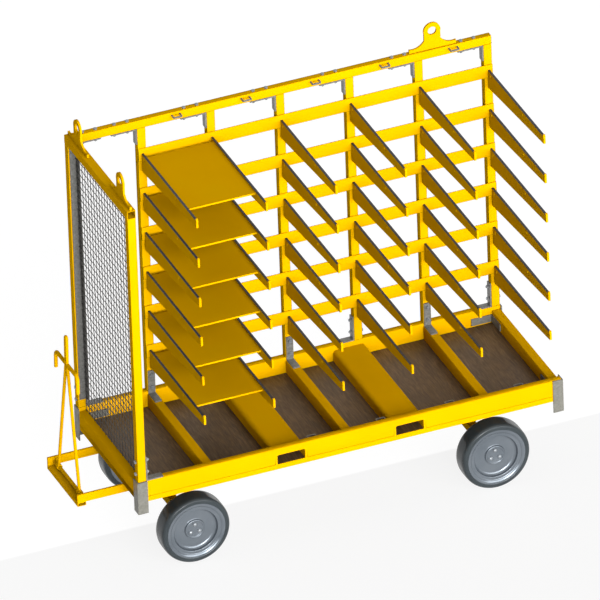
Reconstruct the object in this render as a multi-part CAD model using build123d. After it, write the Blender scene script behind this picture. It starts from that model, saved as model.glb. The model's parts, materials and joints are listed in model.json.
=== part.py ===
from build123d import *
import os
from math import cos, radians, sin

# Long-goods hand cart: a steerable platform truck with a bar rack along its rear side
# and a meshed portal over its towing end.
# Lengths are millimetres. X runs along the cart, the towing end at -X; -Y is the open
# loading side and +Y the rack side. The origin is on the floor, midway between the ends
# and midway between the sides.

# Overall frame
frame_length = 2500
frame_width = 900
frame_height = 2300
overrun = 1
running_gap = 0.3
shaft_clearance = 0.05

# Underframe ring, deck and the flats that carry it
ring_bottom = 450
ring_height = 30
ring_width = 50
ring_wall = 5
tube_wall = 3
deck_thickness = 18
bearer_width = 80
plate_width = 300

# Base beams round the deck
beam_height = 100
beam_depth = 40
end_beam_width = 50
end_beam_height = 78
cross_width = 50
cross_height = 80

# Fork pockets through the base
pocket_offset = 350
pocket_width = 186
pocket_height = 70
pocket_wall = 11
pocket_radius = 20
pocket_inner_radius = 10

# Corner legs and the angle gussets inside the deck's corners
leg_width = 60
leg_thickness = 6
leg_length = 200
gusset_leg = 125
gusset_height = 42
gusset_thickness = 8
gusset_lift = 13

# Portal at the towing end
portal_width = 50

# Wire panel in the portal
angle_leg_x = 45
angle_leg_y = 40
angle_thickness = 5
angle_lift = 52
wire_diameter = 4
wire_pitch = 40

# Rack posts, top beam and rails
post_count = 6
post_width = 50
top_beam_height = 50
rail_height = 80
rail_thickness = 8
rail_drop = 176
level_pitch = 250
lowest_rail_gap = 160

# Arms, their rubber and the shelves laid in the first bay
arm_thickness = 12
arm_length = 778
arm_root_height = 108
arm_tip_height = 43
arm_drop = 35
nose_rise = 12
nose_length = 12
nose_radius = 10
arm_hole_radius = 9
arm_hole_drop = 18
arm_hole_shares = (0.05, 0.63)
rubber_thickness = 5
rubber_setback = 3
shelf_depth = 596
shelf_setback = 30
shelf_thickness = 3
shelf_drop = 8
shelf_lip = 10

# Angle brackets and their bolts
bracket_long = 150
bracket_short = 100
bracket_width = 40
bracket_thickness = 8
bracket_chamfer = 3
bolt_spacing = 76
bolt_setback = 48
bolt_radius = 6
head_flats = 19
head_height = 8
nut_height = 10
tail_length = 5

# Lashing staples
staple_width = 56
staple_reach = 38
staple_bar = 8
staple_corner = 10
staple_drop = 15

# Lifting lugs
lug_base = 277
lug_end_height = 22
lug_thickness = 12
lug_head_radius = 50
lug_hole_radius = 25
lug_hole_height = 112
lug_flare_shares = (0.49, 0.32)
lug_neck_shares = (0.97, 0.5)
rack_lug_setback = 341
portal_lug_setback = 145

# Wheels
wheel_radius = 200
wheel_width = 116
wheel_y = 416
front_axle_setback = 322
rear_axle_setback = 405
tread_edge = 47
tread_crown = 1
shoulder_radius = 183
groove_width = 5
groove_depth = 5
groove_offsets = (-18, 0, 18)
rim_radius = 169
rim_seat_radius = 150
rim_wall = 4
rim_half_width = 57
lip_radius = 146
lip_rise = 3
step_radius = 130
step_depth = 8
dish_radius = 122
dish_depth = 33
hub_ring_radius = 56
hub_ring_inner = 46
hub_ring_rise = 12
hub_floor_rise = 8
hub_bolt_circle = 30
hub_bolt_radius = 8
hub_bolt_rise = 8
hub_bolt_count = 3
hub_tube_radius = 34
hub_tube_inner = 26
hub_tube_end = 40
bearing_bore = 12.5
bearing_width = 15
race_wall = 4
seal_recess = 1

# Axles and what carries them
axle_size = 50
axle_bar_end = 345
collar_radius = 17
stand_y = 110
stand_top = 160
stand_foot = 60
stand_thickness = 10
web_height = 60
web_thickness = 8

# Turntable and kingpin
turntable_radius = 195
turntable_inner = 150
turntable_height = 16
bolster_thickness = 12
bolster_half_x = 110
kingpin_radius = 15
kingpin_head_radius = 28
kingpin_nut_height = 8
kingpin_tail = 6

# Towing frame
rail_outer_y = 220
tow_rail_height = 50
tow_rail_thickness = 12
tow_rail_lift = 393
tow_reach = 267
tow_cross_width = 50
tow_cross_height = 23
pivot_setback = 41
pivot_height = 415
pivot_radius = 10

# Drawbar
rod_radius = 9
foot_y = 150
neck_half_gap = 10
neck_height = 1147
loop_height = 1328
neck_bend = 90
sleeve_radius = 16
sleeve_width = 30
handle_radius = 11
handle_width = 336
handle_drop = 102
handle_bend = 28
drawbar_lean = 1

# Places that follow from the sizes above
half_length = frame_length / 2
half_width = frame_width / 2
origin_x = (tow_reach - leg_thickness) / 2
deck_top = ring_bottom + ring_height
deck_bottom = deck_top - deck_thickness
beam_top = deck_top + beam_height
cross_top = deck_top + cross_height
beam_inner_y = half_width - beam_depth
ring_inner_y = half_width - ring_width
ring_inner_x = half_length - ring_width
end_inner_x = half_length - end_beam_width
post_front = half_width - beam_depth
rail_front = post_front - rail_thickness
post_top = frame_height - top_beam_height
post_pitch = (frame_length - post_width) / post_count
front_axle_x = -half_length + front_axle_setback
rear_axle_x = half_length - rear_axle_setback
rack_room = frame_height - rail_drop - rail_height - beam_top - lowest_rail_gap
level_count = int(rack_room / level_pitch) + 1
tow_end_x = -half_length - tow_reach
pivot_x = tow_end_x + pivot_setback


def post_x(index):
    """Middle of a rack post; number 0 is the portal's own rear post."""
    return -half_length + post_width / 2 + post_pitch * index


def cross_posts():
    """Numbers of the rack posts that stand on a cross member: every second one."""
    return range(1, post_count, 2)


def arm_top(level):
    """Height of the top edge of the arms on one level, counted from the top."""
    return frame_height - rail_drop - arm_drop - level_pitch * level


def block(x, y, z):
    """A box over three spans, each a (low, high) pair."""
    box = Box(x[1] - x[0], y[1] - y[0], z[1] - z[0])
    return Pos(sum(x) / 2, sum(y) / 2, sum(z) / 2) * box


def tube(x, y, z, wall, along):
    """A rectangular tube over three spans, open at both ends along one axis."""
    inner = {}
    for axis, (low, high) in {"x": x, "y": y, "z": z}.items():
        step = -overrun if axis == along else wall
        inner[axis] = (low + step, high - step)
    return block(x, y, z) - block(inner["x"], inner["y"], inner["z"])


def rod(start, end, radius):
    """A round bar between two points."""
    path = Vector(*end) - Vector(*start)
    return extrude(Plane(origin=start, z_dir=path) * Circle(radius), path.length)


def prism(start, end, flats):
    """A hexagonal bar between two points, its size given across the flats."""
    path = Vector(*end) - Vector(*start)
    section = RegularPolygon(flats / 2, 6, major_radius=False)
    return extrude(Plane(origin=start, z_dir=path) * section, path.length)


def turned(points, axis_origin):
    """A solid turned about Y from (radius, offset along Y) points."""
    outline = Polyline(*points, close=True)
    return Pos(*axis_origin) * revolve(make_face(outline), Axis.Y)


def save(name, *solids):
    """Writes one piece, or a group of like pieces, moved to the cart's origin."""
    group = [solid for shape in solids for solid in shape.solids()]
    moved = [Pos(origin_x, 0, 0) * solid for solid in group]
    shape = moved[0] if len(moved) == 1 else Compound(children=moved)
    export_step(shape, f"parts/{name}.step")


# Underframe
def angle_bar(x, y):
    """An angle bar in plan: one leg stands round the deck, the other lies under it."""
    stand_x = half_length - ring_wall
    stand_y_inner = half_width - ring_wall
    bar = block(x, y, (ring_bottom, deck_top))
    bed = block((-stand_x, stand_x), (-stand_y_inner, stand_y_inner), (deck_bottom, deck_top + overrun))
    under_z = (ring_bottom - overrun, deck_bottom - ring_wall)
    return bar - bed - block((-stand_x, stand_x), (-stand_y_inner, stand_y_inner), under_z)


def make_base_ring():
    side_x = (-half_length, half_length)
    end_y = (-ring_inner_y, ring_inner_y)
    bars = []
    for side in (-1, 1):
        bars.append(angle_bar(side_x, sorted((side * ring_inner_y, side * half_width))))
        bars.append(angle_bar(sorted((side * ring_inner_x, side * half_length)), end_y))
    save("base_ring", *bars)


def make_deck():
    x = (-half_length + ring_wall, half_length - ring_wall)
    y = (-half_width + ring_wall, half_width - ring_wall)
    save("plywood_deck", block(x, y, (deck_bottom, deck_top)))


def flat_at(x, width):
    """A flat under the deck, from one side of the ring to the other."""
    span = (x - width / 2, x + width / 2)
    return block(span, (-ring_inner_y, ring_inner_y), (ring_bottom, deck_bottom))


def make_deck_flats():
    edge = ring_inner_x - bearer_width / 2
    places = [-edge, edge] + [post_x(index) for index in range(2, post_count - 1)]
    save("deck_bearers", *[flat_at(x, bearer_width) for x in places])
    front = flat_at(front_axle_x, plate_width)
    pin_ends = (ring_bottom - overrun, deck_bottom + overrun)
    pin = rod(*[(front_axle_x, 0, z) for z in pin_ends], kingpin_radius)
    save("axle_plates", front - pin, flat_at(rear_axle_x, plate_width))


# Base beams with the fork pockets let into them
def pocket_section(width, height, radius):
    """Rectangle on the deck, both upper corners rounded, drawn in the XZ plane."""
    section = Rectangle(width, height, align=(Align.CENTER, Align.MIN))
    upper = section.vertices().group_by(Axis.Y)[-1]
    return fillet(upper, radius)


def pocket_body(width, height, radius, x, base, reach):
    """A pocket section run across the base, reaching as far to either side."""
    plane = Plane(origin=(x, 0, base), x_dir=(1, 0, 0), z_dir=(0, -1, 0))
    return extrude(plane * pocket_section(width, height, radius), reach, both=True)


def make_long_beams():
    x = (-half_length, half_length)
    z = (deck_top, beam_top)
    for name, side in (("front_beam", -1), ("rear_beam", 1)):
        beam = tube(x, sorted((side * beam_inner_y, side * half_width)), z, tube_wall, "x")
        for pocket in (-1, 1):
            x_middle = pocket * pocket_offset
            outline = (pocket_width, pocket_height, pocket_radius)
            beam = beam - pocket_body(*outline, x_middle, deck_top, half_width + overrun)
        save(name, beam)


def make_end_beams():
    y = (-beam_inner_y, beam_inner_y)
    z = (deck_top, deck_top + end_beam_height)
    for name, side in (("left_end_beam", -1), ("right_end_beam", 1)):
        x = sorted((side * end_inner_x, side * half_length))
        save(name, tube(x, y, z, tube_wall, "y"))


def make_cross_members():
    bars = []
    for index in cross_posts():
        x = (post_x(index) - cross_width / 2, post_x(index) + cross_width / 2)
        y = (-beam_inner_y, beam_inner_y)
        bars.append(tube(x, y, (deck_top, cross_top), tube_wall, "y"))
    save("cross_members", *bars)


def make_fork_pockets():
    inner_width = pocket_width - 2 * pocket_wall
    inner_height = pocket_height - pocket_wall
    for name, side in (("fork_pocket_left", -1), ("fork_pocket_right", 1)):
        x = side * pocket_offset
        outline = (pocket_width, pocket_height, pocket_radius)
        shell = pocket_body(*outline, x, deck_top, half_width)
        bore_outline = (inner_width, inner_height + overrun, pocket_inner_radius)
        bore = pocket_body(*bore_outline, x, deck_top - overrun, half_width + overrun)
        save(name, shell - bore)


# Corner pieces
def make_corner_legs():
    legs = []
    for side_x in (-1, 1):
        for side_y in (-1, 1):
            outer_x = half_length + leg_thickness
            outer_y = half_width + leg_thickness
            z = (beam_top - leg_length, beam_top)
            x = sorted((side_x * (outer_x - leg_width), side_x * outer_x))
            y = sorted((side_y * (outer_y - leg_width), side_y * outer_y))
            hollow_x = sorted((side_x * (outer_x - leg_width - overrun), side_x * half_length))
            hollow_y = sorted((side_y * (outer_y - leg_width - overrun), side_y * half_width))
            hollow_z = (z[0] - overrun, z[1] + overrun)
            legs.append(block(x, y, z) - block(hollow_x, hollow_y, hollow_z))
    save("corner_legs", *legs)


def make_corner_gussets():
    gussets = []
    z = (deck_top + gusset_lift, deck_top + gusset_lift + gusset_height)
    cut_z = (z[0] - overrun, z[1] + overrun)
    for side_x in (-1, 1):
        for side_y in (-1, 1):
            near_x = end_inner_x - gusset_leg
            near_y = beam_inner_y - gusset_leg
            x = sorted((side_x * near_x, side_x * end_inner_x))
            y = sorted((side_y * near_y, side_y * beam_inner_y))
            cut_x = sorted((side_x * (near_x - overrun), side_x * (end_inner_x - gusset_thickness)))
            cut_y = sorted((side_y * (near_y - overrun), side_y * (beam_inner_y - gusset_thickness)))
            gussets.append(block(x, y, z) - block(cut_x, cut_y, cut_z))
    save("corner_gussets", *gussets)


# Angle brackets with the bolts that hold them
def bracket_frame(corner, along, up):
    """Plane of an angle bracket: its long leg runs along local x, its short one along local y."""
    return Plane(origin=corner, x_dir=along, z_dir=Vector(*along).cross(Vector(*up)))


def bracket(corner, along, up):
    """An angle bracket with cut corners and two bolt holes in its long leg."""
    half = bracket_width / 2
    t = bracket_thickness
    outline = Polyline((0, 0), (bracket_long, 0), (bracket_long, t), (t, t), (t, bracket_short),
                       (0, bracket_short), close=True)
    plane = bracket_frame(corner, along, up)
    body = extrude(plane * make_face(outline), half, both=True)
    long_end = plane.from_local_coords((bracket_long, 0, 0))
    short_end = plane.from_local_coords((0, bracket_short, 0))
    ends = body.edges().filter_by(Axis(corner, up)).sort_by_distance(long_end)
    tips = body.edges().filter_by(Axis(corner, along)).sort_by_distance(short_end)
    body = chamfer(ends[:2] + tips[:2], bracket_chamfer)
    for place in bolt_places():
        start = plane.from_local_coords((place, -overrun, 0))
        end = plane.from_local_coords((place, t + overrun, 0))
        body = body - rod(tuple(start), tuple(end), bolt_radius)
    return body


def bolt_places():
    """Distances of the two bolts from the bracket's heel."""
    return (bolt_setback, bolt_setback + bolt_spacing)


def bracket_bolts(corner, along, up, member):
    """The two bolts of a bracket, headed on the far side of a member of the given depth."""
    plane = bracket_frame(corner, along, up)
    solids = []
    for place in bolt_places():
        head = plane.from_local_coords((place, -member, 0))
        nut = plane.from_local_coords((place, bracket_thickness, 0))
        reach = (nut - head).normalized()
        shank_end = nut + reach * (nut_height + tail_length)
        solids.append(prism(tuple(head - reach * head_height), tuple(head), head_flats)
                      + rod(tuple(head), tuple(shank_end), bolt_radius))
        ring = prism(tuple(nut), tuple(nut + reach * nut_height), head_flats)
        solids.append(ring - rod(tuple(nut - reach * overrun), tuple(shank_end), bolt_radius))
    return solids


def top_bracket_sites():
    """Heel, long and short directions, and bolted depth, of the brackets under the top beam."""
    y = (post_front + half_width) / 2
    down = (0, 0, -1)
    sites = [((-end_inner_x, y, post_top), (1, 0, 0), down, top_beam_height)]
    for index in range(1, post_count + 1):
        heel = post_x(index) - post_width / 2
        sites.append(((heel, y, post_top), (-1, 0, 0), down, top_beam_height))
    return sites


def foot_bracket_sites():
    """Heel, long and short directions, and bolted depth, of the brackets at the posts' feet."""
    rear_y = (post_front + half_width) / 2
    up = (0, 0, 1)
    sites = []
    for y in (-rear_y, rear_y):
        sites.append(((-end_inner_x, y, beam_top), up, (1, 0, 0), portal_width))
    for index in range(1, post_count + 1):
        if index in cross_posts():
            sites.append(((post_x(index), post_front, cross_top), up, (0, -1, 0), beam_depth))
        else:
            heel = post_x(index) - post_width / 2
            sites.append(((heel, rear_y, beam_top), up, (-1, 0, 0), post_width))
    return sites


def make_brackets():
    bolts = []
    for name, sites in (("top_brackets", top_bracket_sites()), ("foot_brackets", foot_bracket_sites())):
        save(name, *[bracket(*site[:3]) for site in sites])
        for site in sites:
            bolts += bracket_bolts(*site)
    save("bracket_bolts", *bolts)


def bolt_holes(sites):
    """The shanks of every bolt in a list of bracket sites, for drilling the members."""
    shanks = []
    for corner, along, up, member in sites:
        plane = bracket_frame(corner, along, up)
        for place in bolt_places():
            start = plane.from_local_coords((place, -member - overrun, 0))
            end = plane.from_local_coords((place, overrun, 0))
            shanks.append(rod(tuple(start), tuple(end), bolt_radius))
    return shanks


def drilled(member, sites):
    """A member with the holes of the bolts that pass through it."""
    for shank in bolt_holes(sites):
        member = member - shank
    return member


# Portal at the towing end
def make_portal():
    sites = foot_bracket_sites()
    z = (beam_top, post_top)
    x = (-half_length, -end_inner_x)
    front = tube(x, (-half_width, -beam_inner_y), z, tube_wall, "z")
    rear = tube(x, (beam_inner_y, half_width), z, tube_wall, "z")
    save("portal_front_post", drilled(front, sites[:1]))
    save("portal_rear_post", drilled(rear, sites[1:2]))
    beam_z = (post_top, frame_height)
    beam = tube(x, (-half_width, half_width), beam_z, tube_wall, "y")
    save("portal_beam", beam)


def make_wire_panel():
    """Upright and level wires, one layer against the other, held by two upright angles."""
    inner_y = beam_inner_y - angle_thickness
    low = deck_top + end_beam_height
    face_x = -end_inner_x
    angles = []
    for side in (-1, 1):
        x = (face_x + angle_thickness - angle_leg_x, face_x + angle_thickness)
        y = sorted((side * (beam_inner_y - angle_leg_y), side * beam_inner_y))
        z = (beam_top + angle_lift, post_top)
        cut_x = (x[0] - overrun, face_x)
        cut_y = sorted((side * (beam_inner_y - angle_leg_y - overrun), side * inner_y))
        angles.append(block(x, y, z) - block(cut_x, cut_y, (z[0] - overrun, z[1] + overrun)))
    save("panel_angles", *angles)
    wires = []
    level_x = (face_x - 2 * wire_diameter, face_x - wire_diameter)
    upright_x = (face_x - wire_diameter, face_x)
    uprights = int((2 * inner_y - wire_diameter) / wire_pitch)
    for index in range(uprights + 1):
        y = (index - uprights / 2) * wire_pitch
        wires.append(block(upright_x, (y - wire_diameter / 2, y + wire_diameter / 2), (low, post_top)))
    levels = int((post_top - low - wire_diameter) / wire_pitch)
    for index in range(levels + 1):
        z = (low + post_top) / 2 + (index - levels / 2) * wire_pitch
        wires.append(block(level_x, (-inner_y, inner_y), (z - wire_diameter / 2, z + wire_diameter / 2)))
    save("wire_panel", *wires)


# Rack of posts, rails and arms
def make_rack_frame():
    y = (post_front, half_width)
    posts = []
    for index, site in enumerate(foot_bracket_sites()[2:], start=1):
        x = (post_x(index) - post_width / 2, post_x(index) + post_width / 2)
        posts.append(drilled(tube(x, y, (beam_top, post_top), tube_wall, "z"), [site]))
    save("rack_posts", *posts)
    beam = tube((-end_inner_x, half_length), y, (post_top, frame_height), tube_wall, "x")
    save("rack_top_beam", drilled(beam, top_bracket_sites()))


def make_rails():
    x = (post_x(1) - post_width / 2, half_length)
    rails = []
    for level in range(level_count):
        top = frame_height - rail_drop - level_pitch * level
        rails.append(block(x, (rail_front, post_front), (top - rail_height, top)))
    save("rack_rails", *rails)


def arm_profile():
    """Side view of an arm: x runs out from the rail, y up, the top edge at y = 0."""
    tip = arm_length
    outline = Polyline((0, 0), (tip - nose_length, 0), (tip - nose_length, nose_rise), (tip, nose_rise),
                       (tip, -arm_tip_height), (0, -arm_root_height), close=True)
    face = make_face(outline)
    corner = face.vertices().sort_by_distance((tip, nose_rise, 0))[0]
    face = fillet(corner, nose_radius)
    for share in arm_hole_shares:
        face = face - Pos(arm_length * share, -arm_hole_drop) * Circle(arm_hole_radius)
    return face


def make_arms():
    profile = arm_profile()
    rubber_end = arm_length - nose_length - rubber_setback
    rubbers = []
    for index in range(1, post_count + 1):
        arms = []
        x = (post_x(index) - arm_thickness / 2, post_x(index) + arm_thickness / 2)
        for level in range(level_count):
            z = arm_top(level)
            plane = Plane(origin=(post_x(index), rail_front, z), x_dir=(0, -1, 0), z_dir=(-1, 0, 0))
            arms.append(extrude(plane * profile, arm_thickness / 2, both=True))
            rubber_z = (z, z + rubber_thickness)
            rubbers.append(block(x, (rail_front - rubber_end, rail_front), rubber_z))
        save(f"rack_arms_{index}", *arms)
    save("arm_rubbers", *rubbers)


def make_shelves():
    """Sheet shelves between the first two rows of arms, lipped along the front."""
    x = (post_x(1) + arm_thickness / 2, post_x(2) - arm_thickness / 2)
    rear = rail_front - shelf_setback
    front = rear - shelf_depth
    shelves = []
    for level in range(level_count):
        top = arm_top(level) - shelf_drop
        sheet = block(x, (front, rear), (top - shelf_thickness, top))
        lip = block(x, (front, front + shelf_thickness), (top - shelf_lip, top))
        shelves.append(sheet + lip)
    save("bay_shelves", *shelves)


# Fittings on the top beams
def staple(x, face_y, reach, z):
    """A flat-bar staple standing out of a beam's face."""
    outer = Rectangle(staple_width, staple_reach, align=(Align.CENTER, Align.MIN))
    outer = fillet(outer.vertices().group_by(Axis.Y)[-1], staple_corner)
    inner_width = staple_width - 2 * staple_bar
    inner = Rectangle(inner_width, staple_reach - staple_bar, align=(Align.CENTER, Align.MIN))
    inner = fillet(inner.vertices().group_by(Axis.Y)[-1], staple_corner - staple_bar)
    plane = Plane(origin=(x, face_y, z), x_dir=(reach, 0, 0), z_dir=(0, 0, 1))
    return extrude(plane * (outer - inner), staple_bar / 2, both=True)


def make_staples():
    """Staples at the middle of the bays, on the top beam and inside the front beam."""
    staples = []
    for bay in range(1, post_count):
        x = post_x(bay) + post_pitch / 2
        staples.append(staple(x, post_front, -1, frame_height - staple_drop))
    for bay in range(2, post_count):
        x = post_x(bay) + post_pitch / 2
        staples.append(staple(x, -beam_inner_y, 1, beam_top - staple_drop))
    save("lashing_staples", *staples)


def lug_profile():
    """Outline of a lifting lug: a flared foot under a round eye, x along the beam."""
    half = lug_base / 2
    mid_x, mid_y = (half * lug_flare_shares[0], lug_hole_height * lug_flare_shares[1])
    neck_x, neck_y = (lug_head_radius * lug_neck_shares[0], lug_hole_height * lug_neck_shares[1])
    right = ThreePointArc((half, lug_end_height), (mid_x, mid_y), (neck_x, neck_y))
    left = ThreePointArc((-neck_x, neck_y), (-mid_x, mid_y), (-half, lug_end_height))
    sides = [Line((-half, 0), (half, 0)), Line((half, 0), (half, lug_end_height))]
    sides.append(Line((neck_x, neck_y), (-neck_x, neck_y)))
    sides.append(Line((-half, lug_end_height), (-half, 0)))
    foot = make_face(Wire([*Curve(children=[right, left, *sides]).edges()]))
    head = Pos(0, lug_hole_height) * Circle(lug_head_radius)
    neck = Rectangle(2 * neck_x, lug_hole_height - neck_y, align=(Align.CENTER, Align.MIN))
    return foot + head + Pos(0, neck_y) * neck - Pos(0, lug_hole_height) * Circle(lug_hole_radius)


def make_lugs():
    profile = lug_profile()
    rear_y = (post_front + half_width) / 2
    lug_x = half_length - rack_lug_setback
    plane = Plane(origin=(lug_x, rear_y, frame_height), x_dir=(1, 0, 0), z_dir=(0, -1, 0))
    lugs = [extrude(plane * profile, lug_thickness / 2, both=True)]
    for side in (-1, 1):
        lug_y = side * (half_width - portal_lug_setback)
        origin = (-half_length + portal_width / 2, lug_y, frame_height)
        plane = Plane(origin=origin, x_dir=(0, 1, 0), z_dir=(1, 0, 0))
        lugs.append(extrude(plane * profile, lug_thickness / 2, both=True))
    save("lifting_lugs", *lugs)


# Wheels
def tyre_points():
    """Section of the solid tyre: (radius, offset), the outer side at +offset."""
    half = wheel_width / 2
    side = rim_half_width - rim_wall
    edge = wheel_radius - tread_crown
    right = [(rim_seat_radius, side), (rim_radius, side), (rim_radius, half - rim_wall),
             (shoulder_radius, half), (edge, tread_edge)]
    left = [(radius, -offset) for radius, offset in reversed(right)]
    tread = []
    for middle in sorted(groove_offsets, reverse=True):
        top, low = (wheel_radius, wheel_radius - groove_depth)
        near, far = (middle + groove_width / 2, middle - groove_width / 2)
        tread += [(top, near), (low, near), (low, far), (top, far)]
    return right + tread + left


def rim_points():
    """Section of the pressed rim with its hub: (radius, offset), the outer side at +offset."""
    face = rim_half_width
    disc = face - dish_depth
    wall = rim_wall
    floor = disc + hub_floor_rise
    crest = disc + hub_ring_rise
    outer = [(rim_radius, face), (lip_radius + wall, face), (lip_radius + wall / 2, face + lip_rise),
             (lip_radius - wall / 2, face + lip_rise), (lip_radius - wall, face - step_depth),
             (step_radius, face - step_depth), (dish_radius, disc), (hub_ring_radius, disc),
             (hub_ring_radius - wall / 2, crest), (hub_ring_inner + wall / 2, crest),
             (hub_ring_inner, floor), (0, floor)]
    inner = [(0, floor - wall), (hub_tube_inner, floor - wall), (hub_tube_inner, -hub_tube_end),
             (hub_tube_radius, -hub_tube_end), (hub_tube_radius, disc - wall),
             (dish_radius + wall, disc - wall), (step_radius + wall, face - step_depth - wall),
             (rim_seat_radius - wall, face - step_depth - wall), (rim_seat_radius - wall, -face),
             (rim_radius, -face), (rim_radius, -face + wall), (rim_seat_radius, -face + wall),
             (rim_seat_radius, face - wall), (rim_radius, face - wall)]
    return outer + inner


def bearing_places():
    """Inner ends of the two bearings in a hub, as offsets from the wheel's middle."""
    floor = rim_half_width - dish_depth + hub_floor_rise - rim_wall
    return (-hub_tube_end, floor - running_gap - bearing_width)


def bearing_points(start):
    """Section of a sealed ball bearing, its seals set in between the races."""
    outer, bore = (hub_tube_inner, bearing_bore)
    end = start + bearing_width
    near, far = (bore + race_wall, outer - race_wall)
    return [(bore, start), (near, start), (near, start + seal_recess), (far, start + seal_recess),
            (far, start), (outer, start), (outer, end), (far, end), (far, end - seal_recess),
            (near, end - seal_recess), (near, end), (bore, end)]


def facing(points, side):
    """Points of a wheel's section with its outer side turned to one side of the cart."""
    return [(radius, side * offset) for radius, offset in points]


def make_wheel(name, x, side):
    centre = (x, side * wheel_y, wheel_radius)
    save(f"{name}_tyre", turned(facing(tyre_points(), side), centre))
    rim = turned(facing(rim_points(), side), centre)
    floor = rim_half_width - dish_depth + hub_floor_rise
    for index in range(hub_bolt_count):
        angle = radians(90 + 360 * index / hub_bolt_count)
        bolt_x = x + hub_bolt_circle * cos(angle)
        bolt_z = wheel_radius + hub_bolt_circle * sin(angle)
        start = (bolt_x, side * (wheel_y + floor - rim_wall / 2), bolt_z)
        end = (bolt_x, side * (wheel_y + floor + hub_bolt_rise), bolt_z)
        rim = rim + rod(start, end, hub_bolt_radius)
    save(f"{name}_rim", rim)
    bearings = [turned(facing(bearing_points(start), side), centre) for start in bearing_places()]
    save(f"{name}_bearings", *bearings)


def make_wheels():
    for end, x in (("left", front_axle_x), ("right", rear_axle_x)):
        for row, side in (("front", -1), ("rear", 1)):
            make_wheel(f"{end}_{row}_wheel", x, side)


# Axles and their stands
def axle(x):
    """A square bar with a collar and a turned stub at each end."""
    half = axle_size / 2
    z = (wheel_radius - half, wheel_radius + half)
    bar = block((x - half, x + half), (-axle_bar_end, axle_bar_end), z)
    seat = wheel_y - hub_tube_end - running_gap
    stub_end = wheel_y + rim_half_width - dish_depth + hub_floor_rise - rim_wall - 2 * running_gap
    for side in (-1, 1):
        start = (x, side * axle_bar_end, wheel_radius)
        bar = bar + rod(start, (x, side * seat, wheel_radius), collar_radius)
        stub_radius = bearing_bore - shaft_clearance
        bar = bar + rod((x, side * seat, wheel_radius), (x, side * stub_end, wheel_radius), stub_radius)
    return bar


def axle_stand(x, top):
    """Two tapered plates standing on the axle, tied by a web between them."""
    base = wheel_radius + axle_size / 2
    solids = []
    for side in (-1, 1):
        outline = Polyline((-stand_foot / 2, base), (stand_foot / 2, base), (stand_top / 2, top),
                           (-stand_top / 2, top), close=True)
        plane = Plane(origin=(x, side * stand_y, 0), x_dir=(1, 0, 0), z_dir=(0, -1, 0))
        solids.append(extrude(plane * make_face(outline), stand_thickness / 2, both=True))
    inner = stand_y - stand_thickness / 2
    web_x = (x - web_thickness / 2, x + web_thickness / 2)
    solids.append(block(web_x, (-inner, inner), (base, base + web_height)))
    return solids


# Steering carriage under the towing end
def bolster_top():
    """Top of the carriage's plate, under the two turntable rings."""
    return ring_bottom - 2 * turntable_height - running_gap


def kingpin_hole(z):
    radius = kingpin_radius + shaft_clearance
    return rod((front_axle_x, 0, z[0] - overrun), (front_axle_x, 0, z[1] + overrun), radius)


def turntable_ring(z):
    bottom = (front_axle_x, 0, z[0])
    ring = rod(bottom, (front_axle_x, 0, z[1]), turntable_radius)
    bore = rod((front_axle_x, 0, z[0] - overrun), (front_axle_x, 0, z[1] + overrun), turntable_inner)
    return ring - bore


def make_turntable():
    upper = (ring_bottom - turntable_height, ring_bottom)
    lower = (bolster_top(), bolster_top() + turntable_height)
    plate = (bolster_top() - bolster_thickness, bolster_top())
    save("turntable_upper_ring", turntable_ring(upper))
    save("turntable_lower_ring", turntable_ring(lower))
    x = (front_axle_x - bolster_half_x, front_axle_x + bolster_half_x)
    inner_y = rail_outer_y - tow_rail_thickness
    body = block(x, (-inner_y, inner_y), plate)
    disc = rod((front_axle_x, 0, plate[0]), (front_axle_x, 0, plate[1]), turntable_radius)
    save("bolster_plate", body + disc - kingpin_hole(plate))
    nut_top = plate[0] - running_gap
    nut_bottom = nut_top - kingpin_nut_height
    pin = rod((front_axle_x, 0, nut_bottom - kingpin_tail), (front_axle_x, 0, deck_bottom), kingpin_radius)
    nut = prism((front_axle_x, 0, nut_bottom), (front_axle_x, 0, nut_top), 2 * kingpin_head_radius)
    save("kingpin", pin + nut)


def make_axles():
    save("front_axle", axle(front_axle_x))
    save("front_axle_stand", *axle_stand(front_axle_x, bolster_top() - bolster_thickness))
    save("rear_axle", axle(rear_axle_x))
    save("rear_axle_stand", *axle_stand(rear_axle_x, ring_bottom))


def make_tow_frame():
    z = (tow_rail_lift, tow_rail_lift + tow_rail_height)
    x = (tow_end_x, front_axle_x + bolster_half_x)
    rails = []
    inner_y = rail_outer_y - tow_rail_thickness
    for side in (-1, 1):
        rails.append(block(x, sorted((side * inner_y, side * rail_outer_y)), z))
    save("tow_rails", *rails)
    cross_x = (tow_end_x, tow_end_x + tow_cross_width)
    cross_z = (tow_rail_lift - tow_cross_height, tow_rail_lift)
    save("tow_cross_member", tube(cross_x, (-rail_outer_y, rail_outer_y), cross_z, tube_wall, "y"))
    ends = ((pivot_x, -inner_y, pivot_height), (pivot_x, inner_y, pivot_height))
    save("pivot_bar", rod(*ends, pivot_radius))


# Drawbar
def leaned(shape):
    """A piece of the drawbar tipped about its pivot, towards the cart."""
    pivot = Pos(pivot_x, 0, pivot_height)
    return pivot * Rot(0, drawbar_lean, 0) * pivot.inverse() * shape


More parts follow.
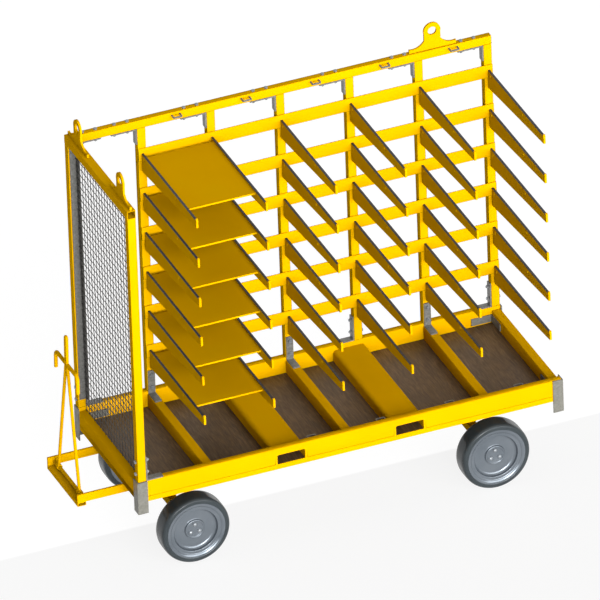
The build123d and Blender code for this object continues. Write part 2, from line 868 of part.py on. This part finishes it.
def make_drawbar():
    bore = pivot_radius + shaft_clearance
    sleeves = []
    for side in (-1, 1):
        start = (pivot_x, side * (foot_y - sleeve_width / 2), pivot_height)
        end = (pivot_x, side * (foot_y + sleeve_width / 2), pivot_height)
        sleeves.append(rod(start, end, sleeve_radius) - rod(start, end, bore))
    save("drawbar_sleeves", *[leaned(sleeve) for sleeve in sleeves])
    top = loop_height - rod_radius - neck_half_gap
    foot = (pivot_x, -foot_y, pivot_height)
    left = FilletPolyline(foot, (pivot_x, -neck_half_gap, neck_height), (pivot_x, -neck_half_gap, top),
                          radius=neck_bend)
    right = FilletPolyline((pivot_x, neck_half_gap, top), (pivot_x, neck_half_gap, neck_height),
                           (pivot_x, foot_y, pivot_height), radius=neck_bend)
    loop = ThreePointArc((pivot_x, -neck_half_gap, top), (pivot_x, 0, top + neck_half_gap),
                         (pivot_x, neck_half_gap, top))
    path = Wire([*left.edges(), *loop.edges(), *right.edges()])
    section = Plane(origin=foot, z_dir=path.tangent_at(0)) * Circle(rod_radius)
    frame = sweep(section, path=path)
    ends = ((pivot_x, -half_width, pivot_height), (pivot_x, half_width, pivot_height))
    save("drawbar_frame", leaned(frame - rod(*ends, sleeve_radius)))
    half = handle_width / 2 - handle_radius
    low = (pivot_x, -half, neck_height - handle_drop)
    path = FilletPolyline(low, (pivot_x, -half, neck_height), (pivot_x, half, neck_height),
                          (pivot_x, half, neck_height - handle_drop), radius=handle_bend)
    bar = sweep(Plane(origin=low, z_dir=(0, 0, 1)) * Circle(handle_radius), path=path)
    reach = handle_radius + overrun
    middle = block((pivot_x - reach, pivot_x + reach), (-neck_half_gap, neck_half_gap),
                   (neck_height - reach, neck_height + reach))
    save("drawbar_handle", leaned(bar - frame - middle))


def main():
    os.makedirs("parts", exist_ok=True)
    make_base_ring()
    make_deck()
    make_deck_flats()
    make_long_beams()
    make_end_beams()
    make_cross_members()
    make_fork_pockets()
    make_corner_legs()
    make_corner_gussets()
    make_brackets()
    make_portal()
    make_wire_panel()
    make_rack_frame()
    make_rails()
    make_arms()
    make_shelves()
    make_staples()
    make_lugs()
    make_wheels()
    make_axles()
    make_turntable()
    make_tow_frame()
    make_drawbar()


main()
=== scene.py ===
import json
import math

import bmesh
import bpy
from mathutils import Matrix, Vector


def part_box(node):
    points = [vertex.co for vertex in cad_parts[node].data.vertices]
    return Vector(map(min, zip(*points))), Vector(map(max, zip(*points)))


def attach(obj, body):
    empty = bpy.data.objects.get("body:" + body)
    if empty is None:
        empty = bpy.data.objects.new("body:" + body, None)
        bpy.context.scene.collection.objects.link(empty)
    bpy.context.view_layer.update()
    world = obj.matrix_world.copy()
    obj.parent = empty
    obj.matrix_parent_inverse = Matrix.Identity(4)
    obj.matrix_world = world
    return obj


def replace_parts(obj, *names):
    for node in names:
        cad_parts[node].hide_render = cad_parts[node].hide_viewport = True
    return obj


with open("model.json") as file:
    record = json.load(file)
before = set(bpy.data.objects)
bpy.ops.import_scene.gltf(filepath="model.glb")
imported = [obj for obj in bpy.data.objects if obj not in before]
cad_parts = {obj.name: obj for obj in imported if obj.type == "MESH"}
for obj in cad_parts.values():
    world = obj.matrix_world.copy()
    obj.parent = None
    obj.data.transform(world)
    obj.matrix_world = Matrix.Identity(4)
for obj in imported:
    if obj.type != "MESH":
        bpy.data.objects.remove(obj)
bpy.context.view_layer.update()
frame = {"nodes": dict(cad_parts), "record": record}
node = frame["nodes"]


# Underframe and base beams: hollow steel sections, welded into one frame and powder coated
# yellow as a whole. The coat is smooth, with a faint orange peel and slow random shifts of tone;
# its rounded edges that don't face up carry painted shade, as if in the creases.
def finish(name, metallic, roughness, specular=0.5):
    """A material with its node tree, its shader and its object coordinates."""
    material = bpy.data.materials.new(name)
    material.use_nodes = True
    tree = material.node_tree
    shader = tree.nodes["Principled BSDF"]
    shader.inputs["Metallic"].default_value = metallic
    shader.inputs["Roughness"].default_value = roughness
    shader.inputs["Specular IOR Level"].default_value = specular
    place = tree.nodes.new("ShaderNodeTexCoord").outputs["Object"]
    return material, tree, shader, place


def add(tree, kind, settings=None, **inputs):
    """A node with its settings and inputs; an input that is a socket is linked."""
    made = tree.nodes.new(kind)
    for key, value in (settings or {}).items():
        setattr(made, key, value)
    for key, value in inputs.items():
        socket = made.inputs[key.replace("_", " ")]
        if isinstance(value, bpy.types.NodeSocket):
            tree.links.new(value, socket)
        else:
            socket.default_value = value
    return made


def effect(name, values, results):
    """An empty node group with named number inputs and outputs, which starts from Place."""
    group = bpy.data.node_groups.new(name, "ShaderNodeTree")
    group.interface.new_socket("Place", in_out="INPUT", socket_type="NodeSocketVector")
    for label in values:
        group.interface.new_socket(label, in_out="INPUT", socket_type="NodeSocketFloat")
    for label in results:
        group.interface.new_socket(label, in_out="OUTPUT", socket_type="NodeSocketFloat")
    start = group.nodes.new("NodeGroupInput").outputs
    end = group.nodes.new("NodeGroupOutput").inputs
    return group, start, end


def use(tree, group, place, **values):
    """An effect placed in a material with that material's own values."""
    made = tree.nodes.new("ShaderNodeGroup")
    made.node_tree = group
    tree.links.new(place, made.inputs["Place"])
    for key, value in values.items():
        made.inputs[key.replace("_", " ")].default_value = value
    return made.outputs


def dents(tree, shader, height, distance, strength=1.0):
    """Small unevenness of the surface, its height given by a texture."""
    bump = add(tree, "ShaderNodeBump", Strength=strength, Distance=distance, Height=height)
    tree.links.new(bump.outputs["Normal"], shader.inputs["Normal"])


def shades(tree, shader, mask, colours):
    """Base colour that runs through the given (place, colour) stops as the mask rises."""
    ramp = tree.nodes.new("ShaderNodeValToRGB")
    band = ramp.color_ramp
    while len(band.elements) < len(colours):
        band.elements.new(0.5)
    for stop, (at, colour) in zip(band.elements, colours):
        stop.position = at
        stop.color = (*colour, 1.0)
    tree.links.new(mask, ramp.inputs["Fac"])
    tree.links.new(ramp.outputs["Color"], shader.inputs["Base Color"])
    return ramp.outputs["Color"]


cloud, start, end = effect("slow_clouds", ["Size", "Detail"], ["Mask"])
noise = add(cloud, "ShaderNodeTexNoise", Vector=start["Place"], Scale=start["Size"],
            Detail=start["Detail"])
cloud.links.new(noise.outputs["Fac"], end["Mask"])

peel, start, end = effect("orange_peel", ["Size"], ["Height", "Gloss"])
fine = add(peel, "ShaderNodeTexNoise", Vector=start["Place"], Scale=start["Size"], Detail=2.0)
gloss = add(peel, "ShaderNodeMapRange", Value=fine.outputs["Fac"], To_Min=0.28, To_Max=0.44)
peel.links.new(fine.outputs["Fac"], end["Height"])
peel.links.new(gloss.outputs["Result"], end["Gloss"])


def bleed_less(tree, shader, colour):
    """Holds back the tint that a bright coat throws onto the surfaces round it."""
    path = tree.nodes.new("ShaderNodeLightPath")
    kept = add(tree, "ShaderNodeMapRange", Value=path.outputs["Is Diffuse Ray"], To_Min=1.0,
               To_Max=0.2)
    held = add(tree, "ShaderNodeVectorMath", {"operation": "SCALE"}, Vector=colour,
               Scale=kept.outputs["Result"])
    tree.links.new(held.outputs["Vector"], shader.inputs["Base Color"])


edge_radius = 0.0026
# Dark yellow that is painted as shade on the rounded edges that don't face up.
painted_crease_shade = (0.27, 0.19, 0.0, 1.0)
welded = 0.00002
thinnest_face = 0.006
yellow, tree, shader, place = finish("yellow_powder_coat", 0.0, 0.36, 0.0)
mask = use(tree, cloud, place, Size=3.0, Detail=4.0)["Mask"]
colour = shades(tree, shader, mask, [(0.30, (0.96, 0.488, 0.0)), (0.52, (1.0, 0.513, 0.0)),
                                     (0.72, (1.0, 0.530, 0.0))])
# Painted shade: rounded edge faces that don't face up are mixed to the dark yellow, standing in for the
# shade in creases and under edges.
crease_shade = add(tree, "ShaderNodeAttribute", {"attribute_name": "crease_shade"})
edged = add(tree, "ShaderNodeMix", {"data_type": "RGBA"})
tree.links.new(crease_shade.outputs["Fac"], edged.inputs[0])
tree.links.new(colour, edged.inputs[6])
edged.inputs[7].default_value = painted_crease_shade
bleed_less(tree, shader, edged.outputs[2])
grain = use(tree, peel, place, Size=420.0)
tree.links.new(grain["Gloss"], shader.inputs["Roughness"])
dents(tree, shader, grain["Height"], 0.00012)


def coat(material, slot, *names):
    """Gives CAD nodes a material; the slot is not used."""
    for name in names:
        node[name].data.materials.clear()
        node[name].data.materials.append(material)


def piece(name, bm, material, body, smooth=35.0):
    """Makes a mesh a named piece that rides on a body."""
    mesh = bpy.data.meshes.new(name)
    bm.to_mesh(mesh)
    bm.free()
    made = bpy.data.objects.new(name, mesh)
    bpy.context.scene.collection.objects.link(made)
    mesh.materials.append(material)
    mesh.shade_smooth()
    mesh.set_sharp_from_angle(angle=math.radians(smooth))
    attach(made, body)
    return made


def body_of(name):
    """The body that a CAD node rides on."""
    bodies = frame["record"]["behaviour"]["bodies"]
    return next(body for body, held in bodies.items() if name in held)


def breadth(face):
    """How broad a face is across its longest edge, which is little on the cut ends of a wall."""
    return face.calc_area() / max(edge.calc_length() for edge in face.edges)


def eased(material, slot, *names):
    """Coats CAD nodes, and stands for each with a copy whose sharp edges are rounded off; the rounded
    faces that don't face up are marked for painted crease shade.
    """
    coat(material, slot, *names)
    for name in names:
        bm = bmesh.new()
        bm.from_mesh(node[name].data)
        bmesh.ops.remove_doubles(bm, verts=bm.verts, dist=welded)
        bmesh.ops.dissolve_limit(bm, angle_limit=math.radians(1.0), verts=bm.verts,
                                 edges=bm.edges)
        sharp = [e for e in bm.edges
                 if len(e.link_faces) == 2 and e.calc_face_angle(0.0) > math.radians(40)
                 and all(breadth(face) > thinnest_face for face in e.link_faces)]
        crease_shade = bm.faces.layers.float.new("crease_shade")
        rounded = bmesh.ops.bevel(bm, geom=sharp, offset=edge_radius, offset_type="OFFSET",
                                  segments=2, profile=0.5, affect="EDGES",
                                  clamp_overlap=False, material=-1)
        # Marks the rounded faces that don't face up, which the coat paints with crease shade.
        for face in rounded["faces"]:
            face[crease_shade] = 1.0 if face.normal.z < 0.3 else 0.0
        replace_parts(piece(f"{name}_eased", bm, material, body_of(name)), name)


eased(yellow, "yellow_paint", "base_ring", "front_beam", "rear_beam", "left_end_beam", "right_end_beam")
eased(yellow, "yellow_paint", "cross_members")
coat(yellow, "yellow_paint", "deck_bearers", "axle_plates")

# Fork pockets: two thick-walled channels welded through the base beams, so that a forklift
# can lift the cart from either side. They are coated with the frame.
coat(yellow, "yellow_paint", "fork_pocket_left", "fork_pocket_right")

# Deck: a film-faced plywood board let into the base ring, dark brown with the grain across
# the cart, worn lighter in streaks.
streak, start, end = effect("wood_grain", ["Width"], ["Grain", "Pores"])
drawn = add(streak, "ShaderNodeMapping", Vector=start["Place"], Scale=(1.0, 0.11, 1.0))
lines = add(streak, "ShaderNodeTexNoise", Vector=drawn.outputs["Vector"], Scale=start["Width"],
            Detail=7.0, Roughness=0.66, Distortion=1.1)
pits = add(streak, "ShaderNodeTexNoise", Vector=drawn.outputs["Vector"], Scale=150.0, Detail=4.0)
streak.links.new(lines.outputs["Fac"], end["Grain"])
streak.links.new(pits.outputs["Fac"], end["Pores"])

plywood, tree, shader, place = finish("film_faced_plywood", 0.0, 0.5)
wood = use(tree, streak, place, Width=55.0)
colour = shades(tree, shader, wood["Grain"],
                [(0.28, (0.066, 0.037, 0.016)), (0.44, (0.120, 0.070, 0.030)),
                 (0.58, (0.172, 0.103, 0.046)), (0.76, (0.265, 0.168, 0.084))])
blotch = use(tree, cloud, place, Size=5.0, Detail=6.0)["Mask"]
lift = add(tree, "ShaderNodeMapRange", Value=blotch, From_Min=0.3, From_Max=0.7,
           To_Min=0.72, To_Max=1.2)
fleck = add(tree, "ShaderNodeMapRange", Value=wood["Pores"], From_Min=0.3, From_Max=0.7,
            To_Min=0.65, To_Max=1.15)
both = add(tree, "ShaderNodeMath", {"operation": "MULTIPLY"}, Value=lift.outputs["Result"])
tree.links.new(fleck.outputs["Result"], both.inputs[1])
worn = add(tree, "ShaderNodeVectorMath", {"operation": "SCALE"}, Vector=colour,
           Scale=both.outputs["Value"])
tree.links.new(worn.outputs["Vector"], shader.inputs["Base Color"])
dents(tree, shader, wood["Pores"], 0.0004, 0.6)
coat(plywood, "plywood", "plywood_deck")

# Corner legs, gussets and the panel's angles: galvanised angle steel, bolted or welded to
# the frame after it is coated. Zinc shows a faint patchwork of crystals.
spangle, start, end = effect("zinc_spangle", ["Size"], ["Crystal", "Dull"])
warp = add(spangle, "ShaderNodeTexNoise", Vector=start["Place"], Scale=60.0, Detail=2.0)
shift = add(spangle, "ShaderNodeVectorMath", {"operation": "SCALE"},
            Vector=warp.outputs["Color"], Scale=0.012)
bent = add(spangle, "ShaderNodeVectorMath", {"operation": "ADD"})
spangle.links.new(start["Place"], bent.inputs[0])
spangle.links.new(shift.outputs["Vector"], bent.inputs[1])
cells = add(spangle, "ShaderNodeTexVoronoi", Vector=bent.outputs["Vector"], Scale=start["Size"])
tone = add(spangle, "ShaderNodeSeparateColor", Color=cells.outputs["Color"])
dull = add(spangle, "ShaderNodeMapRange", Value=tone.outputs["Green"], To_Min=0.30, To_Max=0.50)
spangle.links.new(tone.outputs["Red"], end["Crystal"])
spangle.links.new(dull.outputs["Result"], end["Dull"])


def zinc(name, size, dark, light, metallic=0.35):
    """Galvanised steel with crystals of a size and the two ends of its shade."""
    material, tree, shader, place = finish(name, metallic, 0.45, 0.2)
    crystal = use(tree, spangle, place, Size=size)
    middle = tuple((a + b) / 2 for a, b in zip(dark, light))
    shades(tree, shader, crystal["Crystal"], [(0.0, dark), (0.5, middle), (1.0, light)])
    tree.links.new(crystal["Dull"], shader.inputs["Roughness"])
    dents(tree, shader, crystal["Crystal"], 0.00006, 0.5)
    return material


galvanised = zinc("galvanised_angle", 90.0, (0.205, 0.200, 0.172), (0.262, 0.256, 0.225), 0.1)
coat(galvanised, "zinc_steel", "corner_legs", "corner_gussets")
bracket_zinc = zinc("bracket_zinc", 110.0, (0.19, 0.188, 0.175), (0.27, 0.267, 0.252))
coat(bracket_zinc, "zinc_steel", "panel_angles")

# Running gear under the deck: square axle bars on their stands, and a turntable of two
# flat rings round a kingpin that lets the front axle steer. The rings stay bare steel.
coat(yellow, "yellow_paint", "rear_axle", "rear_axle_stand", "front_axle",
     "front_axle_stand", "bolster_plate")
coat(yellow, "yellow_paint", "tow_rails", "tow_cross_member")
machined = zinc("turned_steel", 160.0, (0.26, 0.265, 0.27), (0.34, 0.345, 0.35))
coat(machined, "zinc_steel", "turntable_upper_ring", "turntable_lower_ring", "kingpin")
coat(yellow, "yellow_paint", "pivot_bar")

# Wheels: solid rubber tyres on pressed and zinc-plated steel rims. The tyre is moulded with
# a ribbed tread and round shoulders; fine ribs run across the edge of the tread.
wheel_radius = 0.200
rim_radius = 0.169
rim_seat = 0.150
around = 120
tread_steps = 320
fullness = 0.56
tread_edge = 0.190
rib_depth = 0.0011
bolt_circle = 0.030
bolt_radius = 0.0115
bolt_seat = 0.0328


def ring(bm, points, steps, centre, side):
    """Turns a closed section of (radius, offset) points round the wheel's axle."""
    corners = [bm.verts.new(Vector((radius, side * offset, 0.0))) for radius, offset in points]
    edges = [bm.edges.new((a, b)) for a, b in zip(corners, corners[1:] + corners[:1])]
    bmesh.ops.spin(bm, geom=corners + edges, cent=(0, 0, 0), axis=(0, 1, 0), angle=2 * math.pi,
                   steps=steps, use_merge=True)
    bmesh.ops.recalc_face_normals(bm, faces=bm.faces)
    bmesh.ops.translate(bm, verts=bm.verts, vec=centre)


def arc(centre, radius, start_angle, end_angle, count):
    """Points on an arc of a section, its angles in degrees from the outward radius."""
    points = []
    for step in range(count + 1):
        angle = math.radians(start_angle + (end_angle - start_angle) * step / count)
        points.append((centre[0] + radius * math.cos(angle), centre[1] + radius * math.sin(angle)))
    return points


def tyre_section():
    """Half round the tyre from its bead over the full shoulder and the tread, as (radius, offset)."""
    bead = [(rim_seat, 0.0530), (rim_radius - 0.001, 0.0530), (rim_radius - 0.001, 0.0552),
            (rim_radius + 0.0012, 0.0566), (0.1728, 0.0573)]
    shoulder = []
    for step in range(15):
        angle = math.radians(89 - 88 * step / 14)
        shoulder.append((0.1750 + 0.0250 * math.cos(angle) ** fullness,
                         0.0140 + 0.0440 * math.sin(angle) ** fullness))
    right = bead + shoulder
    left = [(radius, -offset) for radius, offset in reversed(right)]
    return right + [(wheel_radius, 0.0)] + left


def ribbed(bm, centre):
    """Fine ribs across the tread: every other column of its points is let in."""
    for vert in bm.verts:
        out = vert.co - centre
        column = round(math.atan2(out.z, out.x) / (2 * math.pi) * tread_steps)
        radius = math.hypot(out.x, out.z)
        if radius > tread_edge and column % 2:
            let_in = 1 - rib_depth / radius
            vert.co = centre + Vector((out.x * let_in, out.y, out.z * let_in))


rubber_tyre, tree, shader, place = finish("tyre_rubber", 0.0, 0.13, 0.25)
bloom = use(tree, cloud, place, Size=9.0, Detail=5.0)["Mask"]
shades(tree, shader, bloom, [(0.3, (0.035, 0.043, 0.048)), (0.5, (0.042, 0.052, 0.057)),
                             (0.7, (0.050, 0.061, 0.066))])
skin = use(tree, peel, place, Size=900.0)
dents(tree, shader, skin["Height"], 0.00004, 0.4)

plated, tree, shader, place = finish("plated_rim", 0.6, 0.3)
cast = use(tree, cloud, place, Size=6.0, Detail=3.0)["Mask"]
shades(tree, shader, cast, [(0.3, (0.140, 0.163, 0.188)), (0.5, (0.166, 0.190, 0.216)),
                            (0.7, (0.192, 0.216, 0.242))])
swirl = use(tree, peel, place, Size=260.0)
dents(tree, shader, swirl["Height"], 0.00001, 0.2)
polish = add(tree, "ShaderNodeMapRange", Value=cast, From_Min=0.3, From_Max=0.7,
             To_Min=0.17, To_Max=0.24)
tree.links.new(polish.outputs["Result"], shader.inputs["Roughness"])


def rim_section():
    """The pressed rim from its outer face over the dished disc to the hub, then back inside."""
    face = 0.057
    lip = [(rim_radius, 0.0535), (rim_radius, face), (0.1590, face)]
    step = [(0.1580, 0.0567), (0.1572, 0.0563), (0.1515, 0.0536), (0.1498, 0.0524), (0.1480, 0.0508),
            (0.1462, 0.0497), (0.1440, 0.0491)]
    brow = [(0.1335, 0.0491)] + arc((0.1315, 0.0451), 0.0040, 80, 160, 5)
    foot = arc((0.1080, 0.0440), 0.0200, 0, -90, 14)
    hub = arc((0.0617, 0.0280), 0.0040, -95, -170, 5) + arc((0.0532, 0.0317), 0.0045, 12, 90, 6)
    well = [(0.0500, 0.0362), (0.0483, 0.0352), (0.0474, 0.0325), (0.0462, 0.0320), (0.0, 0.0320)]
    back = [(0.0, 0.0280), (0.026, 0.0280), (0.026, -0.040), (0.034, -0.040), (0.034, 0.0200),
            (0.1200, 0.0200), (0.1300, 0.0310), (0.1316, 0.0440), (0.1460, 0.0450), (0.1460, -0.0530)]
    inner = [(0.1480, -0.0565), (rim_radius - 0.001, -0.0570), (rim_radius, -0.0560),
             (rim_radius, -0.0535), (rim_seat, -0.0530), (rim_seat, 0.0505)]
    return lip + step + brow + foot + hub + well + back + inner


bright, tree, shader, place = finish("plated_bolt", 0.5, 0.28)
glint = use(tree, cloud, place, Size=90.0, Detail=2.0)["Mask"]
shades(tree, shader, glint, [(0.3, (0.25, 0.27, 0.29)), (0.7, (0.36, 0.38, 0.40))])


def axle_of(name):
    """The middle of a wheel and the side it faces, from its CAD tyre."""
    low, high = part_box(f"{name}_tyre")
    centre = (low + high) / 2
    return centre, (1.0 if centre.y > 0 else -1.0)


for name in ("left_front_wheel", "left_rear_wheel", "right_front_wheel", "right_rear_wheel"):
    centre, side = axle_of(name)
    bm = bmesh.new()
    ring(bm, tyre_section(), tread_steps, centre, side)
    ribbed(bm, centre)
    tyre = piece(f"{name}_ribbed_tyre", bm, rubber_tyre, name)
    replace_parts(tyre, f"{name}_tyre")

    bm = bmesh.new()
    ring(bm, rim_section(), around, centre, side)
    bmesh.ops.remove_doubles(bm, verts=bm.verts, dist=welded)
    rim = piece(f"{name}_pressed_rim", bm, plated, name, 50.0)
    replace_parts(rim, f"{name}_rim")

    bm = bmesh.new()
    for turn in range(3):
        angle = math.radians(90 + 120 * turn)
        at = centre + Vector((bolt_circle * math.cos(angle), 0.0, bolt_circle * math.sin(angle)))
        head = bmesh.ops.create_uvsphere(bm, u_segments=20, v_segments=10, radius=bolt_radius)["verts"]
        bmesh.ops.scale(bm, verts=head, vec=(1.0, 1.0, 0.80))
        under = [v for v in head if v.co.z < -0.0001]
        bmesh.ops.scale(bm, verts=under, vec=(1.0, 1.0, 0.1))
        bmesh.ops.rotate(bm, verts=head, cent=(0, 0, 0),
                         matrix=Matrix.Rotation(-side * math.pi / 2, 3, "X"))
        bmesh.ops.translate(bm, verts=head, vec=at + Vector((0.0, side * bolt_seat, 0.0)))
    piece(f"{name}_hub_bolts", bm, bright, name)
    coat(machined, "zinc_steel", f"{name}_bearings")

# Drawbar: a bent round bar that forms a long A and closes in a loop, hinged on the pivot
# bar between the tow rails, with a cross handle hooked at both ends. All coated yellow.
coat(yellow, "yellow_paint", "drawbar_frame", "drawbar_handle", "drawbar_sleeves")

# Portal at the towing end: square tube posts and a beam, bolted to the base with brackets.
eased(yellow, "yellow_paint", "portal_front_post", "portal_rear_post")
coat(yellow, "yellow_paint", "portal_beam")

# Wire panel: crimped wires woven over and under one another, clamped to the galvanised
# angles at the sides and standing between the end beam and the portal's beam.
pitch = 0.040
wire = 0.0023
wave = 0.0017
steps_per_pitch = 4
low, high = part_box("wire_panel")
middle = (low + high) / 2


def crimped(length, first_crossing, sides=6):
    """A crimped wire as a mesh: it runs up Z from 0, waving out and back across X."""
    bm = bmesh.new()
    bmesh.ops.create_circle(bm, segments=sides, radius=wire, cap_ends=True)
    edges = list(bm.edges)
    count = round(length / pitch * steps_per_pitch)
    for step in range(count):
        grown = bmesh.ops.extrude_edge_only(bm, edges=edges)["geom"]
        rise = [g for g in grown if isinstance(g, bmesh.types.BMVert)]
        edges = [g for g in grown if isinstance(g, bmesh.types.BMEdge)]
        bmesh.ops.translate(bm, verts=rise, vec=(0, 0, length / count))
    bmesh.ops.contextual_create(bm, geom=edges)
    for vert in bm.verts:
        vert.co.x += wave * math.cos(math.pi * (vert.co.z - first_crossing) / pitch)
    bmesh.ops.recalc_face_normals(bm, faces=bm.faces)
    mesh = bpy.data.meshes.new("crimped_wire")
    bm.to_mesh(mesh)
    bm.free()
    return mesh


def woven(bm, mesh, matrix):
    """Adds one wire to the panel, moved and turned by a matrix."""
    before = len(bm.verts)
    bm.from_mesh(mesh)
    bm.verts.ensure_lookup_table()
    bmesh.ops.transform(bm, verts=bm.verts[before:], matrix=matrix)


uprights = round((high.y - low.y - 0.01) / pitch)
levels = int((high.z - low.z - 2 * wire) / pitch)
first_y = middle.y - uprights * pitch / 2
first_z = middle.z - levels * pitch / 2
upright = crimped(high.z - low.z, first_z - low.z)
level = crimped(high.y - low.y, first_y - low.y)
bm = bmesh.new()
for index in range(uprights + 1):
    turn = Matrix.Rotation(math.pi * (index % 2), 4, "Z")
    woven(bm, upright, Matrix.Translation((middle.x, first_y + pitch * index, low.z)) @ turn)
for index in range(levels + 1):
    turn = Matrix.Rotation(math.pi * ((index + 1) % 2), 4, "Z")
    lay = Matrix.Rotation(-math.pi / 2, 4, "X") @ turn
    woven(bm, level, Matrix.Translation((middle.x, low.y, first_z + pitch * index)) @ lay)
wire_zinc = zinc("wire_zinc", 240.0, (0.055, 0.053, 0.050), (0.095, 0.092, 0.088))
panel = piece("woven_wire_panel", bm, wire_zinc, "chassis", 60.0)
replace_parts(panel, "wire_panel")

# Rack: square posts under a top beam along the rear side, with a flat rail on every level.
eased(yellow, "yellow_paint", "rack_posts", "rack_top_beam", "rack_rails")

# Rack arms: laser-cut plates welded to the rails, a strip of dark rubber along each top edge
# so that bars don't scratch, and sheet shelves laid over the arms in the first bay.
arms = [f"rack_arms_{index}" for index in range(1, 7)]
coat(yellow, "yellow_paint", *arms, "bay_shelves")
strip, tree, shader, place = finish("edge_rubber", 0.0, 0.6)
length = add(tree, "ShaderNodeMapping", Vector=place, Scale=(0.0, 1.0, 0.0))
bands = add(tree, "ShaderNodeTexNoise", Vector=length.outputs["Vector"], Scale=60.0, Detail=1.0)
shades(tree, shader, bands.outputs["Fac"],
       [(0.35, (0.011, 0.012, 0.016)), (0.5, (0.019, 0.022, 0.031)),
        (0.62, (0.030, 0.037, 0.055))])
dents(tree, shader, use(tree, peel, place, Size=700.0)["Height"], 0.0001, 0.5)
coat(strip, "rubber", "arm_rubbers")

# Brackets and bolts: galvanised angle brackets under the top beam and at the posts' feet,
# each held by two zinc-plated hexagon bolts with nuts.
coat(bracket_zinc, "zinc_steel", "top_brackets", "foot_brackets")
coat(bright, "zinc_steel", "bracket_bolts")

# Lashing staples: bent flat bars on the top beam and inside the front beam, left galvanised.
coat(bracket_zinc, "zinc_steel", "lashing_staples")

# Lifting lugs: flared plates with a round eye, welded to the top of the rack and the portal.
coat(yellow, "yellow_paint", "lifting_lugs")

# Studio: a pale floor under the cart and white behind it, a broad light from the front with a
# smaller key beside it, a weak light overhead, and a camera so far off that parallel edges
# stay parallel as they do in the photograph.
floor_reach = 14.0
floor_seam = 0.009
floor_bm = bmesh.new()
bmesh.ops.create_grid(floor_bm, x_segments=1, y_segments=1, size=floor_reach)
floor_mesh = bpy.data.meshes.new("studio_floor")
floor_bm.to_mesh(floor_mesh)
floor_bm.free()
floor = bpy.data.objects.new("studio_floor", floor_mesh)
bpy.context.scene.collection.objects.link(floor)
floor_paint = bpy.data.materials.new("pale_floor")
floor_paint.use_nodes = True
tree = floor_paint.node_tree
tree.nodes.clear()
sheet = add(tree, "ShaderNodeBsdfDiffuse", Color=(0.80, 0.80, 0.80, 1.0))
seen = add(tree, "ShaderNodeBsdfDiffuse", Color=(0.15, 0.15, 0.15, 1.0))
where = add(tree, "ShaderNodeSeparateXYZ", Vector=add(tree, "ShaderNodeTexCoord").outputs["Object"])
behind = add(tree, "ShaderNodeMath", {"operation": "GREATER_THAN"}, Value=where.outputs["Y"])
behind.inputs[1].default_value = floor_seam
tint = add(tree, "ShaderNodeMapRange", Value=behind.outputs["Value"], To_Min=0.865, To_Max=0.95)
glow = add(tree, "ShaderNodeEmission", Strength=tint.outputs["Result"])
shown = add(tree, "ShaderNodeAddShader")
tree.links.new(seen.outputs["BSDF"], shown.inputs[0])
tree.links.new(glow.outputs["Emission"], shown.inputs[1])


def background_rays(tree):
    """One where the camera, a reflection or a view through glass meets the background."""
    path = tree.nodes.new("ShaderNodeLightPath")
    total = path.outputs["Is Camera Ray"]
    for label in ("Is Glossy Ray", "Is Transmission Ray"):
        total = add(tree, "ShaderNodeMath", {"operation": "MAXIMUM"}, Value=total)
        tree.links.new(path.outputs[label], total.inputs[1])
        total = total.outputs["Value"]
    return total


choice = add(tree, "ShaderNodeMixShader", Fac=background_rays(tree))
tree.links.new(sheet.outputs["BSDF"], choice.inputs[1])
tree.links.new(shown.outputs["Shader"], choice.inputs[2])
surface = tree.nodes.new("ShaderNodeOutputMaterial")
tree.links.new(choice.outputs["Shader"], surface.inputs["Surface"])
floor_mesh.materials.append(floor_paint)

world = bpy.data.worlds.new("white_studio")
bpy.context.scene.world = world
world.use_nodes = True
tree = world.node_tree
air = tree.nodes["Background"]
air.inputs["Color"].default_value = (1.0, 1.0, 1.0, 1.0)
level_of_light = add(tree, "ShaderNodeMapRange", Value=background_rays(tree), To_Min=0.10,
                     To_Max=1.0)
tree.links.new(level_of_light.outputs["Result"], air.inputs["Strength"])


def sun(name, direction, strength, spread):
    """A broad light from a direction, given as the vector towards it."""
    lamp = bpy.data.lights.new(name, "SUN")
    lamp.energy = strength
    lamp.angle = math.radians(spread)
    holder = bpy.data.objects.new(name, lamp)
    bpy.context.scene.collection.objects.link(holder)
    holder.rotation_euler = Vector(direction).to_track_quat("Z", "Y").to_euler()
    holder.location = Vector(direction) * 6.0


sun("front_softbox", (0.14, -0.98, 0.10), 4.2, 70)
sun("key_softbox", (-0.05, -0.98, 0.14), 1.5, 22)
sun("overhead_softbox", (0.0, 0.2, 1.0), 0.35, 60)

camera_data = bpy.data.cameras.new("camera")
camera = bpy.data.objects.new("camera", camera_data)
bpy.context.scene.collection.objects.link(camera)
bpy.context.scene.camera = camera
bpy.context.scene.view_settings.view_transform = "Standard"
right = Vector((0.92267, -0.38431, -0.03153)).normalized()
up = Vector((0.22515, 0.47055, 0.85317))
up = (up - right * up.dot(right)).normalized()
back = right.cross(up)
target = Vector((0.2431, 0.5104, 0.8565))
distance = 150.0
sensor = 36.0
view_width = 3.2796
turn = Matrix((right, up, back)).transposed().to_4x4()
camera.matrix_world = Matrix.Translation(target + back * distance) @ turn
camera_data.sensor_width = sensor
camera_data.lens = sensor * distance / view_width
camera_data.clip_start = 10.0
camera_data.clip_end = 400.0
